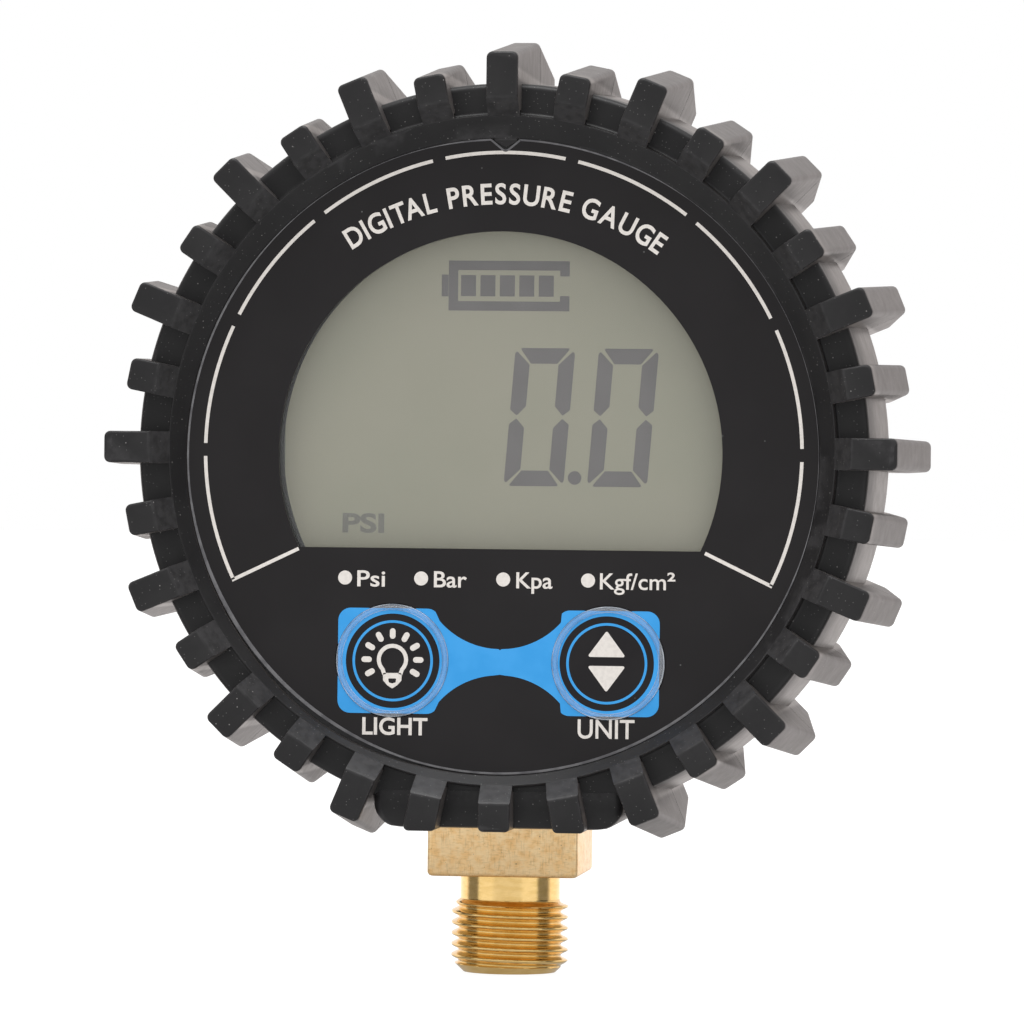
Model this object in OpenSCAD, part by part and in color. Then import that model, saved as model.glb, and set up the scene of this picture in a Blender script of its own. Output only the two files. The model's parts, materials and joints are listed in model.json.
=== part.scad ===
// Digital tyre pressure gauge in a tread-pattern rubber boot, in millimetres.
// The origin is on the thread's axis, at the thread's inner end. +Z points up from the thread
// to the dial, and the dial faces -Y. Depths are positions along Y, from the dial to the back.

/* [Boot] */
// Radius of the long lugs at the front and back faces
lug_face_r = 32.5; // [31.9:0.1:32.8]
// Radius of the long lugs at the crest, between front and back
lug_crest_r = 34.5; // [33.9:0.1:35]
// How much shorter every other lug is
lug_step = 1.4; // [1:0.1:1.8]
// Width of a lug
lug_w = 2.6; // [2.2:0.1:2.8]
// Number of lugs round the boot
lug_count = 32; // [32]
// Depth of the boot from its front face to its back face
boot_depth = 28.9; // [28.9:0.1:29.6]
// Radius of the boot between the lugs at the front edge
boot_front_r = 30.1; // [29.8:0.1:30.4]
// Radius of the boot between the lugs at the crest
boot_crest_r = 31; // [30.8:0.1:31.3]
// Half width of the flat foot round the fitting
foot_half_w = 10.3; // [9.5:0.1:11]

/* [Case] */
// Outer radius of the two housing shells
case_r = 28.4; // [28.2:0.1:28.4]
// Wall thickness of the shells
wall = 1.5; // [1.3:0.1:1.5]
// Radius of the printed face film
film_r = 26.1; // [25.8:0.1:26.1]
// Radius of the round display window
window_r = 18.3; // [17.6:0.1:18.3]
// How far the flat lower edge of the window is below the dial's centre
window_drop = 8.1; // [7.6:0.1:8.2]

/* [Buttons] */
// Distance of each button from the dial's upright centre line
button_x = 8.9; // [8.7:0.1:9.2]
// How far the buttons are below the dial's centre
button_drop = 17.3; // [17:0.1:17.6]
// Radius of a button cap
button_r = 4.65; // [4.3:0.05:4.65]
// Travel of a button
button_travel = 0.3; // [0.2:0.05:0.3]

/* [Fitting] */
// Height of the dial's centre above the thread's inner end
dial_z = 37.4; // [37:0.1:38]
// Major diameter of the G1/8 pipe thread
thread_d = 9.728; // [9.728]
// Pitch of the G1/8 pipe thread
thread_pitch = 0.907; // [0.907]
// Width across the flats of the square shank
shank_w = 12.5; // [12:0.1:12.5]
// Length of the plain neck between the thread and the shank
neck_len = 2.25; // [2:0.05:2.9]
// Length of the thread, with its end chamfer
thread_len = 5.95; // [5.95:0.05:6.4]
// Radius of the pressure port
port_r = 1.6; // [1.2:0.1:1.8]

/* [Batteries] */
// Diameter of an AAA cell
cell_d = 10.5; // [10.2:0.1:10.5]
// Length of an AAA cell, with its terminal
cell_len = 44.5; // [44:0.1:44.5]
// Opening angle of the battery door, for display
door_angle = 0; // [0:5:60]

/* [Hidden] */
$fn = 64;

// Depths through the gauge, from the front to the back
boot_front = -12.9;
film_front = -9.6;
face_front = film_front + 0.3;
face_back = face_front + wall;
boot_back = boot_front + boot_depth;
crest_y = boot_front + 17;
split_y = 4.1;
case_back = 15.15;
back_plate = 13.75;
lens_back = face_front + 1;
gasket_back = -7.4;
front_glass_y = -7.2;
rear_glass_y = -6.1;
reflector_y = -5;
backlight_y = -4.8;
board_y = -2.6;
board_back = -1;

// Boot
lip_r = film_r + 0.05;
back_lip_r = 26.3;
ridge_y = -11.4;
ridge_r = 27.65;
pocket_y = -9.9;
boot_back_r = 30;
lug_bevel_r = 28.9;
boot_inner_r = case_r + 0.1;
foot_drop = 30.8;
lug_trim_drop = 31.5;
foot_corner_r = 2;
foot_top_drop = 28;
foot_back = 13.5;
tab_half_w = 0.85;
tab_drop = 0.75;

// Screws: x and z places from the dial's centre
case_screw_places = [[-7.8, 22.1], [7.8, 22.1], [-16.5, -16.5], [16.5, -16.5]];
board_screw_places = [[-22.6, 2], [22.6, 2], [0, -13.9]];
strap_screw_places = [[-10, -22.6], [10, -22.6]];
case_boss_r = 2.2;
board_post_r = 1.8;
strap_post_r = 1.7;
pilot_r = 0.9;
screw_seat_y = 6.5;

// Display stack
glass_half_w = 18.6;
glass_top = 18.5;
ledge_drop = 10.9;
rear_glass_drop = 8.7;

// Buttons
cap_thick = 0.6;
ridge_h = 0.22;
well_r = button_r + 0.1;
well_depth = cap_thick + button_travel + 0.1;
stem_r = 1.9;
stem_bore_r = 1.98;
stem_back = -7.1;
switch_front = -6.1;
switch_w = 6;
plunger_r = 1.6;
plunger_back = -5.3;

// Fitting, as heights above the thread's inner end
root_r = thread_d / 2 - 0.581;
crest_half = 0.1;
flank_half = 0.402;
first_crest = 0.45;
crest_count = floor((thread_len - 0.9 - first_crest) / thread_pitch) + 1;
neck_r = 4.15;
collar_z = dial_z - 25.5;
collar_h = 2;
collar_half_w = 8;
spigot_r = 4.3;
spigot_top = dial_z - 21;
seal_mid_r = 3.25;
seal_wire_r = 0.44;

// Battery bay
cell_r = cell_d / 2;
cell_y = 8.35;
cell_z = 5.45;
bay_half_w = cell_len / 2 + 2.05;
bay_half_h = 11.1;
bay_floor = 2.9;
bay_wall = 1.2;
plate_t = 0.3;
spring_len = 2 * (bay_half_w - plate_t) - cell_len;
door_half_w = 22.9;
door_half_h = 11.55;
door_gap = 0.1;
tab_x = 12.5;
tab_w = 5;
tab_pocket = tab_w + 0.4;
hinge_z = -door_half_h - door_gap;

// Turns a profile of [radius, depth] points round the dial's axis
module turned(points) {
    translate([0, 0, dial_z])
        rotate([90, 0, 0])
            rotate_extrude($fn = 128)
                polygon([for (p = points) [p[0], -p[1]]]);
}

// Runs an outline drawn as seen from the front through a range of depths
module slab(front, back) {
    translate([0, back, dial_z])
        rotate([90, 0, 0])
            linear_extrude(back - front)
                children();
}

// A round rod along the depth, at x and z from the dial's centre
module rod(r, front, back, place = [0, 0]) {
    translate([place[0], back, dial_z + place[1]])
        rotate([90, 0, 0])
            cylinder(r = r, h = back - front);
}

// A box given by its lowest and highest corners from the dial's centre
module block(low, high) {
    translate([low[0], low[1], dial_z + low[2]])
        cube(high - low);
}

// One tread lug: a flat-sided slice of [radius, depth] outline, turned to its angle
module lug(angle, shorter) {
    face_r = lug_face_r - shorter;
    crest_r = lug_crest_r - shorter;
    translate([0, 0, dial_z])
        rotate([0, angle, 0])
            rotate([0, -90, 0])
                linear_extrude(lug_w, center = true)
                    polygon([
                        [27.4, ridge_y + 1.2],
                        [ridge_r - 0.05, ridge_y + 0.1],
                        [lug_bevel_r, boot_front],
                        [face_r, boot_front],
                        [crest_r, crest_y],
                        [face_r + 0.1, boot_back],
                        [29.2, boot_back],
                        [29.2, ridge_y + 2]
                    ]);
}

module boot_ring() {
    turned([
        [lip_r, face_front],
        [lip_r, film_front],
        [ridge_r, ridge_y],
        [ridge_r + 0.1, ridge_y],
        [ridge_r + 0.2, pocket_y],
        [boot_front_r, pocket_y],
        [boot_crest_r, crest_y],
        [boot_back_r, boot_back],
        [back_lip_r, boot_back],
        [back_lip_r, case_back + 0.1],
        [boot_inner_r, case_back + 0.1],
        [boot_inner_r, face_front]
    ]);
}

// Flat-bottomed block of rubber that the square shank comes out of
module boot_foot() {
    slab(pocket_y, foot_back) {
        translate([-foot_half_w, -foot_drop + foot_corner_r])
            square([2 * foot_half_w, foot_drop - foot_corner_r - foot_top_drop]);
        translate([-foot_half_w + foot_corner_r, -foot_drop])
            square([2 * (foot_half_w - foot_corner_r), foot_drop - foot_top_drop]);
        for (side = [-1, 1])
            translate([side * (foot_half_w - foot_corner_r), -foot_drop + foot_corner_r])
                circle(foot_corner_r);
    }
}

module boot_cavity() {
    turned([
        [0, face_front],
        [boot_inner_r, face_front],
        [boot_inner_r, case_back + 0.1],
        [0, case_back + 0.1]
    ]);
}

module shank_opening(clearance) {
    half = shank_w / 2 + clearance;
    block([-half, -half, -34], [half, half, -25.6]);
}

module rubber_boot() {
    pitch = 360 / lug_count;
    color([0.16, 0.15, 0.16])
        difference() {
            union() {
                difference() {
                    union() {
                        boot_ring();
                        boot_foot();
                    }
                    block([-foot_half_w, -20, -40], [foot_half_w, 20, -foot_drop]);
                }
                difference() {
                    for (i = [0 : lug_count - 1])
                        lug(i * pitch, i % 2 == 0 ? 0 : lug_step);
                    block([-9, -20, -40], [9, 20, -lug_trim_drop]);
                }
                // small pointed tab that keys the face film
                slab(film_front - 0.1, face_front + 0.1)
                    polygon([
                        [-tab_half_w, lip_r + 0.4],
                        [-tab_half_w, lip_r - 0.1],
                        [0, lip_r - tab_drop],
                        [tab_half_w, lip_r - 0.1],
                        [tab_half_w, lip_r + 0.4]
                    ]);
            }
            boot_cavity();
            shank_opening(0.05);
        }
}

// The window's outline: a circle with its lower part cut off flat
module window_outline(grow) {
    intersection() {
        circle(window_r + grow, $fn = 128);
        translate([-30, -window_drop - grow])
            square([60, 60]);
    }
}

module front_housing() {
    color([0.13, 0.13, 0.14])
        difference() {
            union() {
                turned([
                    [0, face_front],
                    [case_r - 0.4, face_front],
                    [case_r, face_front + 0.4],
                    [case_r, split_y],
                    [case_r - wall, split_y],
                    [case_r - wall, face_back],
                    [0, face_back]
                ]);
                for (place = case_screw_places)
                    rod(case_boss_r, face_back - 0.2, split_y, place);
                for (place = board_screw_places)
                    rod(board_post_r, face_back - 0.2, board_y, place);
                for (place = strap_screw_places)
                    rod(strap_post_r, face_back - 0.2, shank_w / 2, place);
                // pad that the shank's inner end lies on
                block([-8.2, face_back - 0.2, -25.4], [8.2, -shank_w / 2, -21.6]);
            }
            // window opening, with the recess that the clear window lies in
            slab(face_front - 1, face_back + 1)
                window_outline(0.3);
            slab(face_front - 1, lens_back)
                window_outline(1.3);
            for (x = [-button_x, button_x]) {
                rod(well_r, face_front - 1, face_front + well_depth, [x, -button_drop]);
                rod(stem_bore_r, face_front - 1, face_back + 1, [x, -button_drop]);
            }
            shank_opening(0.05);
            block([-6.3, -6.3, -27.5], [6.3, 6, -25.4]);
            for (place = case_screw_places)
                rod(pilot_r, -4.2, split_y + 1, place);
            for (place = board_screw_places)
                rod(pilot_r - 0.2, -6.6, board_y + 1, place);
            for (place = strap_screw_places)
                rod(pilot_r - 0.1, 0.4, shank_w / 2 + 1, place);
            turned([
                [case_r - 1.1, split_y - 0.6],
                [case_r - 0.4, split_y - 0.6],
                [case_r - 0.4, split_y + 1],
                [case_r - 1.1, split_y + 1]
            ]);
        }
}

// The battery bay seen from the front, with its corners cut by a circle
module bay_outline(corner_r, grow) {
    intersection() {
        circle(corner_r, $fn = 128);
        square([2 * (bay_half_w + grow), 2 * (bay_half_h + grow)], center = true);
    }
}

module rear_housing() {
    inner_r = case_r - wall;
    color([0.13, 0.13, 0.14])
        difference() {
            union() {
                turned([
                    [0, back_plate],
                    [inner_r, back_plate],
                    [inner_r, split_y],
                    [case_r, split_y],
                    [case_r, case_back - 0.4],
                    [case_r - 0.4, case_back],
                    [0, case_back]
                ]);
                slab(bay_floor - 1, split_y)
                    bay_outline(inner_r - 0.1, bay_wall);
                slab(split_y, back_plate + 0.2)
                    bay_outline(case_r - 0.6, bay_wall);
                for (place = case_screw_places)
                    rod(case_boss_r + 0.7, split_y, back_plate + 0.2, place);
            }
            difference() {
                slab(bay_floor, back_plate)
                    bay_outline(inner_r - 0.9, 0);
                // low rib between the two cells
                block([-16, bay_floor - 1, -0.6], [16, bay_floor + 2, 0.6]);
            }
            // opening that the door closes
            block([-door_half_w - door_gap, back_plate, hinge_z],
                [door_half_w + door_gap, case_back + 1, -hinge_z]);
            // pockets that the door's tabs swing in
            for (side = [-1, 1])
                block([side * tab_x - tab_pocket / 2, 12, -14.2],
                    [side * tab_x + tab_pocket / 2, back_plate, -11]);
            // scoop for a fingernail at the door's upper edge
            rod(4.5, case_back - 0.7, case_back + 1, [0, door_half_h - 2.6]);
            for (place = case_screw_places) {
                rod(1.15, split_y - 1, case_back, place);
                rod(2, screw_seat_y, case_back + 1, place);
            }
            // slots for the tails of the two battery terminals
            for (z = [-cell_z, cell_z])
                block([bay_half_w - 0.4, 1, z - 1.2],
                    [bay_half_w + 0.05, bay_floor + 1, z + 1.2]);
            shank_opening(0.05);
        }
}

module film_outline() {
    difference() {
        circle(film_r, $fn = 128);
        // notch for the boot's keying tab
        polygon([
            [-1.1, film_r + 1],
            [-1.1, film_r - 0.05],
            [0, film_r - 1],
            [1.1, film_r - 0.05],
            [1.1, film_r + 1]
        ]);
    }
}

module face_overlay() {
    color([0.16, 0.15, 0.16])
        difference() {
            slab(film_front, face_front)
                difference() {
                    film_outline();
                    window_outline(0);
                }
            for (side = [-1, 1])
                rod(button_r + 0.07, film_front - 1, face_front + 1, [side * button_x, -button_drop]);
        }
}

module display_window() {
    color([0.85, 0.9, 0.9, 0.4])
        slab(face_front, lens_back)
            window_outline(1.2);
}

// A button cap with its raised ring and the stem that reaches the switch
module button(side) {
    place = [side * button_x, -button_drop];
    rod(button_r, film_front, film_front + cap_thick, place);
    difference() {
        rod(button_r, film_front - ridge_h, film_front + 0.1, place);
        rod(button_r - 0.4, film_front - 1, film_front + 1, place);
    }
    rod(stem_r, film_front + 0.1, stem_back, place);
}

module light_button() {
    color([0.24, 0.62, 0.89])
        button(-1);
}

module unit_button() {
    color([0.24, 0.62, 0.89])
        button(1);
}

module plunger(side) {
    rod(plunger_r, stem_back, plunger_back, [side * button_x, -button_drop]);
}

module light_plunger() {
    color([0.1, 0.1, 0.1])
        plunger(-1);
}

module unit_plunger() {
    color([0.1, 0.1, 0.1])
        plunger(1);
}

// A square push switch with a well for its plunger and four legs on the board
module push_switch(side) {
    half = switch_w / 2;
    x = side * button_x;
    color([0.1, 0.1, 0.1])
        difference() {
            block([x - half, switch_front, -button_drop - half], [x + half, board_y, -button_drop + half]);
            rod(plunger_r + 0.08, switch_front - 1, plunger_back + button_travel + 0.1, [x, -button_drop]);
        }
    color("silver")
        for (sx = [-1, 1], sz = [-1, 1])
            block([x + sx * 2.2 - 0.35, board_y - 1.4, -button_drop + sz * 3.2 - 0.25],
                [x + sx * 2.2 + 0.35, board_y, -button_drop + sz * 3.2 + 0.25]);
}

module light_switch() {
    push_switch(-1);
}

module unit_switch() {
    push_switch(1);
}

module window_gasket() {
    color([0.1, 0.1, 0.11])
        slab(face_back, gasket_back)
            difference() {
                translate([-glass_half_w, -ledge_drop])
                    square([2 * glass_half_w, glass_top + 0.3 + ledge_drop]);
                window_outline(0.1);
            }
}

// A pane of the display, from its lower edge up to the common top edge
module pane(front, back, drop, inset) {
    half = glass_half_w - inset;
    block([-half, front, -drop], [half, back, glass_top - inset]);
}

module front_polarizer() {
    color([0.55, 0.57, 0.5, 0.6])
        pane(gasket_back, front_glass_y, rear_glass_drop, 0.3);
}

module lcd_front_glass() {
    color([0.6, 0.68, 0.62, 0.4])
        pane(front_glass_y, rear_glass_y, ledge_drop, 0);
}

module lcd_rear_glass() {
    color([0.6, 0.68, 0.62, 0.4])
        pane(rear_glass_y, reflector_y, rear_glass_drop, 0);
}

module lcd_reflector() {
    color([0.57, 0.58, 0.51])
        pane(reflector_y, backlight_y, rear_glass_drop, 0.3);
}

module backlight_panel() {
    color([0.9, 0.92, 0.9])
        pane(backlight_y, board_y - 0.1, rear_glass_drop - 0.3, 1.6);
}

module backlight_leds() {
    color([0.95, 0.9, 0.6])
        for (side = [-1, 1])
            block([side * 17.75 - 0.65, backlight_y + 0.3, 3.5], [side * 17.75 + 0.65, board_y, 6.5]);
}

module lcd_frame() {
    rim = 1;
    color([0.85, 0.85, 0.83])
        slab(front_glass_y, board_y)
            difference() {
                intersection() {
                    translate([-glass_half_w - rim, -ledge_drop - rim])
                        square([2 * (glass_half_w + rim), glass_top + ledge_drop + 2 * rim - 0.2]);
                    circle(case_r - wall - 0.15, $fn = 128);
                }
                translate([-glass_half_w - 0.05, -ledge_drop - 0.05])
                    square([2 * glass_half_w + 0.1, glass_top + ledge_drop + 0.1]);
            }
}

module zebra_strip() {
    color([0.75, 0.45, 0.5])
        block([-17, rear_glass_y, -10.6], [17, board_y, -9]);
}

module circuit_board() {
    color([0.05, 0.32, 0.16])
        difference() {
            slab(board_y, board_back)
                difference() {
                    circle(25.4, $fn = 128);
                    translate([-30, -50.9])
                        square([60, 30]);
                    translate([-5.3, -30])
                        square([10.6, 13.7]);
                    for (place = case_screw_places)
                        translate(place)
                            circle(case_boss_r + 0.3);
                }
            for (place = board_screw_places)
                rod(1, board_y - 1, board_back + 1, place);
        }
}

// A flat chip with a row of legs on each of its four sides
module processor_chip() {
    half = 4.5;
    translate([-4, board_back, dial_z + 6.5]) {
        color([0.08, 0.08, 0.09])
            translate([-half, 0.1, -half])
                cube([2 * half, 1.4, 2 * half]);
        color("silver")
            for (turn = [0 : 3], i = [-4 : 4])
                rotate([0, turn * 90, 0])
                    translate([i * 0.9 - 0.2, 0, half - 0.1])
                        cube([0.4, 0.5, 1.1]);
    }
}

// Clock crystal in a small can that lies on the board
module crystal_can() {
    color("silver")
        translate([5, board_back + 1.05, dial_z + 4])
            cylinder(r = 1, h = 6);
}

// Small resistors and capacitors, then a row of round capacitors
module board_components() {
    color([0.7, 0.55, 0.35])
        for (i = [0 : 5]) {
            x = 9.5 + i * 2;
            block([x, board_back, -4.6], [x + 1, board_back + 0.8, -2.6]);
            left = -17 + i * 1.9;
            block([left, board_back, -8.6], [left + 1, board_back + 0.6, -6.8]);
        }
    color([0.2, 0.2, 0.22])
        for (i = [0 : 2])
            rod(1.6, board_back, board_back + 1.9, [10.5 + i * 4, 14 - i * 2.2]);
}

// A pan-head screw that points to the front
module screw(place, head_front, head_r, head_h, shank_r, shank_len) {
    difference() {
        rod(head_r, head_front, head_front + head_h, place);
        for (turn = [0, 90])
            translate([place[0], head_front + head_h, dial_z + place[1]])
                rotate([0, turn, 0])
                    cube([head_r * 1.2, head_h, 0.35], center = true);
    }
    rod(shank_r, head_front - shank_len, head_front + 0.1, place);
}

module board_screws() {
    color("silver")
        for (place = board_screw_places)
            screw(place, board_back, 1.6, 1.1, 0.7, 5.2);
}

module strap_screws() {
    color("silver")
        for (place = strap_screw_places)
            screw(place, shank_w / 2 + 1, 1.7, 1.2, 0.8, 6.2);
}

module case_screws() {
    color([0.35, 0.35, 0.37])
        for (place = case_screw_places)
            screw(place, screw_seat_y, 1.8, 1.3, 0.9, 10);
}

module case_gasket() {
    color([0.75, 0.2, 0.15])
        difference() {
            turned([
                [case_r - 1.1, split_y - 0.6],
                [case_r - 0.4, split_y - 0.6],
                [case_r - 0.4, split_y],
                [case_r - 1.1, split_y]
            ]);
            shank_opening(0.2);
        }
}

// Outline of the turned part of the fitting: port, spigot, neck, thread and end chamfer
function thread_points() = [
    for (i = [0 : crest_count - 1])
        let (mid = -(first_crest + i * thread_pitch))
            each [
                [root_r, mid + flank_half],
                [thread_d / 2, mid + crest_half],
                [thread_d / 2, mid - crest_half],
                [root_r, mid - flank_half]
            ]
];

module brass_fitting() {
    half = shank_w / 2;
    bevel = 0.35;
    color([0.78, 0.65, 0.4])
        difference() {
            union() {
                rotate_extrude($fn = 96)
                    polygon(concat(
                        [[0, neck_len + 0.5], [neck_r, neck_len + 0.5], [neck_r, 0.1], [root_r, 0]],
                        thread_points(),
                        [[root_r, -thread_len + 0.45], [root_r - 0.43, -thread_len], [0, -thread_len]]
                    ));
                difference() {
                    translate([-half, -half, neck_len])
                        cube([shank_w, shank_w, collar_z - neck_len + 1]);
                    // bevels along the shank's four upright edges and round its lower end
                    for (turn = [0 : 3])
                        rotate([0, 0, 45 + turn * 90])
                            translate([half * sqrt(2) - bevel * 0.7, -3, neck_len - 1])
                                cube([3, 6, 20]);
                    for (turn = [0 : 3])
                        rotate([0, 0, turn * 90])
                            translate([half, 0, neck_len])
                                rotate([0, 45, 0])
                                    cube([bevel, 20, bevel], center = true);
                }
                translate([-collar_half_w, -half, collar_z])
                    cube([2 * collar_half_w, shank_w, collar_h]);
                translate([0, 0, collar_z + collar_h - 0.1])
                    cylinder(r = spigot_r, h = spigot_top - collar_z - collar_h + 0.1);
            }
            translate([0, 0, -thread_len - 1])
                cylinder(r = port_r, h = spigot_top + thread_len + 2);
            translate([0, 0, spigot_top - 2 * seal_wire_r])
                rotate_extrude()
                    translate([seal_mid_r - 0.5, 0])
                        square([1, 2]);
        }
}

module sensor_seal() {
    color([0.1, 0.1, 0.1])
        translate([0, 0, spigot_top - seal_wire_r])
            rotate_extrude()
                translate([seal_mid_r, 0])
                    circle(seal_wire_r, $fn = 24);
}

module pressure_sensor() {
    color([0.7, 0.7, 0.72])
        translate([0, 0, spigot_top]) {
            cylinder(r = spigot_r - 0.05, h = 0.8);
            cylinder(r = 3.5, h = 4.1);
        }
}

module sensor_nut() {
    color([0.78, 0.65, 0.4])
        difference() {
            translate([0, 0, collar_z + collar_h + 0.3])
                cylinder(r = 5.15, h = 3.9);
            translate([0, 0, collar_z])
                cylinder(r = spigot_r + 0.02, h = spigot_top + 0.85 - collar_z);
            cylinder(r = 3.55, h = 30);
        }
}

module sensor_leads() {
    lead_y = board_back + 0.25;
    color("silver")
        for (x = [-3.1, -2.1, 2.1, 3.1])
            translate([x, lead_y, spigot_top + 4.1])
                cylinder(r = 0.2, h = 2.8);
}

// Sheet-metal strap that holds the fitting's collar down on the housing
module fitting_strap() {
    color([0.72, 0.73, 0.75])
        difference() {
            union() {
                block([-8.2, shank_w / 2, -25.2], [8.2, shank_w / 2 + 1, -21.2]);
                block([-11.8, shank_w / 2, -23.9], [11.8, shank_w / 2 + 1, -21.2]);
            }
            for (place = strap_screw_places)
                rod(1, 0, 10, place);
        }
}

// One AAA cell along X, with its raised terminal on the side given
module cell(side, z) {
    color([0.75, 0.72, 0.6])
        translate([side * (bay_half_w - plate_t), cell_y, dial_z + z])
            rotate([0, -90 * side, 0]) {
                cylinder(r = 1.9, h = 2);
                translate([0, 0, 1])
                    cylinder(r = cell_r, h = cell_len - 1);
            }
}

module battery_upper() {
    cell(1, cell_z);
}

module battery_lower() {
    cell(-1, -cell_z);
}

// Points of a coil along X that narrows from its plate to the cell
function coil_point(t, side, z) =
    let (angle = 360 * 3 * t, r = 3.5 - 1.1 * t)
        [
            -side * (bay_half_w - plate_t - 0.35 - t * (spring_len - 0.7)),
            cell_y + r * cos(angle),
            dial_z + z + r * sin(angle)
        ];

// A round wire that follows a list of points, closed at both ends
module wire(path, r, sides) {
    last = len(path) - 1;
    function along(i) =
        let (d = path[min(i + 1, last)] - path[max(i - 1, 0)])
            d / norm(d);
    function out(i) =
        let (n = cross(along(i), [1, 0, 0]))
            n / norm(n);
    rings = [
        for (i = [0 : last], j = [0 : sides - 1])
            let (a = 360 * j / sides)
                path[i] + r * (cos(a) * out(i) + sin(a) * cross(along(i), out(i)))
    ];
    walls = [
        for (i = [0 : last - 1], j = [0 : sides - 1])
            let (k = (j + 1) % sides)
                each [
                    [i * sides + j, i * sides + k, (i + 1) * sides + k],
                    [i * sides + j, (i + 1) * sides + k, (i + 1) * sides + j]
                ]
    ];
    start_cap = [for (j = [sides - 1 : -1 : 0]) j];
    end_cap = [for (j = [0 : sides - 1]) last * sides + j];
    polyhedron(rings, concat(walls, [start_cap, end_cap]));
}

module battery_springs() {
    steps = 54;
    color("silver") {
        wire([for (i = [0 : steps]) coil_point(i / steps, 1, cell_z)], 0.33, 8);
        wire([for (i = [0 : steps]) coil_point(i / steps, -1, -cell_z)], 0.33, 8);
    }
}

module battery_bridge() {
    color([0.8, 0.8, 0.78])
        block([-bay_half_w, 4.5, -8.9], [-bay_half_w + plate_t, 12.2, 8.9]);
}

// A terminal plate with a tail that reaches down to the board
module terminal(z) {
    color([0.8, 0.8, 0.78]) {
        block([bay_half_w - plate_t, 4.5, z - 3.5], [bay_half_w, 12.2, z + 3.5]);
        block([bay_half_w - plate_t, board_back, z - 1], [bay_half_w, 5, z + 1]);
    }
}

module positive_contact() {
    terminal(cell_z);
}

module negative_contact() {
    terminal(-cell_z);
}

module battery_door() {
    color([0.15, 0.15, 0.16])
        translate([0, case_back, dial_z + hinge_z])
            rotate([-door_angle, 0, 0])
                translate([0, -case_back, -dial_z - hinge_z]) {
                    block([-door_half_w, back_plate + 0.03, -door_half_h],
                        [door_half_w, case_back, door_half_h]);
                    // hooked tabs that hold the door's lower edge
                    for (x = [-tab_x, tab_x]) {
                        block([x - tab_w / 2, 12.6, -13.05], [x + tab_w / 2, back_plate - 0.05, -10.8]);
                        block([x - tab_w / 2, 13, -door_half_h], [x + tab_w / 2, back_plate + 0.2, -10.8]);
                    }
                }
}

rubber_boot();
front_housing();
rear_housing();
face_overlay();
display_window();
light_button();
unit_button();
light_plunger();
unit_plunger();
light_switch();
unit_switch();
window_gasket();
front_polarizer();
lcd_front_glass();
lcd_rear_glass();
lcd_reflector();
backlight_panel();
backlight_leds();
lcd_frame();
zebra_strip();
circuit_board();
processor_chip();
crystal_can();
board_components();
board_screws();
pressure_sensor();
sensor_leads();
sensor_seal();
sensor_nut();
brass_fitting();
fitting_strap();
strap_screws();
case_gasket();
case_screws();
battery_upper();
battery_lower();
battery_springs();
battery_bridge();
positive_contact();
negative_contact();
battery_door();
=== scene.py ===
import json
from math import asin, atan2, cos, degrees, exp, pi, radians, sin, sqrt, tan

import bmesh
import bpy
from mathutils import Matrix, Vector
from mathutils.geometry import tessellate_polygon


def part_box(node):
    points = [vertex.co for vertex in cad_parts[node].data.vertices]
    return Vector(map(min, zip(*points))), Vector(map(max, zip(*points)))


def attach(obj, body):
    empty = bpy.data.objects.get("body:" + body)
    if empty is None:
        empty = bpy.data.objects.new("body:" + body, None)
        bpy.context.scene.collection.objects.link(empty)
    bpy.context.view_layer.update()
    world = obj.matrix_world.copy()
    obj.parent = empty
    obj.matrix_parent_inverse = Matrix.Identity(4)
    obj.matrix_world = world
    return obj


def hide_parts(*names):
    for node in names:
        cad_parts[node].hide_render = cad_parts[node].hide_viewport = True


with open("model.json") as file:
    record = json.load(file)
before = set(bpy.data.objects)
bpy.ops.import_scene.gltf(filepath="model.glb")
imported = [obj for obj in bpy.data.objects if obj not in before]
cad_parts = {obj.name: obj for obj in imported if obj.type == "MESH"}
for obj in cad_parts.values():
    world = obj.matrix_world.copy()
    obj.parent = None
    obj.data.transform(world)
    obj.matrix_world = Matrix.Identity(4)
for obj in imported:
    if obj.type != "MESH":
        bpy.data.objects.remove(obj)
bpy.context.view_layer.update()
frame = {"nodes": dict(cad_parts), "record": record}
MM = 0.001


def mm_box(node):
    low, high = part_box(node)
    return low / MM, high / MM


# ---- sizes read from the frame ----
case_low, case_high = mm_box("front_housing")
boot_low, boot_high = mm_box("rubber_boot")
film_low, film_high = mm_box("face_overlay")
brass_low, brass_high = mm_box("brass_fitting")
door_high = mm_box("battery_door")[1]
button_low, button_high = mm_box("light_button")

DIAL_Z = (case_low.z + case_high.z) / 2
CASE_R = (case_high.x - case_low.x) / 2
FRONT = boot_low.y
BACK = boot_high.y
FILM = film_low.y
FILM_R = (film_high.x - film_low.x) / 2
GLASS = mm_box("front_polarizer")[0].y
CREST = FRONT + 17  # depth at which the lugs reach furthest out
BUTTON_X = (button_low.x + button_high.x) / -2
BUTTON_Z = (button_low.z + button_high.z) / 2 - DIAL_Z
BUTTON_R = (button_high.x - button_low.x) / 2
STEM_END = button_high.y
INK = 0.012  # thickness of a print


def link(thing):
    bpy.context.scene.collection.objects.link(thing)


# ---- outlines ----
def turns_of(count):
    """Angles that share out one turn"""
    return [2 * pi * i / count for i in range(count)]


def spoke(angle):
    """Unit vector at an angle clockwise from the top, and the one across it"""
    return Vector((sin(angle), cos(angle))), Vector((cos(angle), -sin(angle)))


def arc(centre, radius, start, end, steps):
    """Points on an arc, with angles in degrees from +x towards +z"""
    turns = [radians(start + (end - start) * i / steps) for i in range(steps + 1)]
    return [(centre[0] + radius * cos(a), centre[1] + radius * sin(a)) for a in turns]


def circle(centre, radius, steps=64):
    return arc(centre, radius, 0, 360, steps)[:-1]


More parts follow.
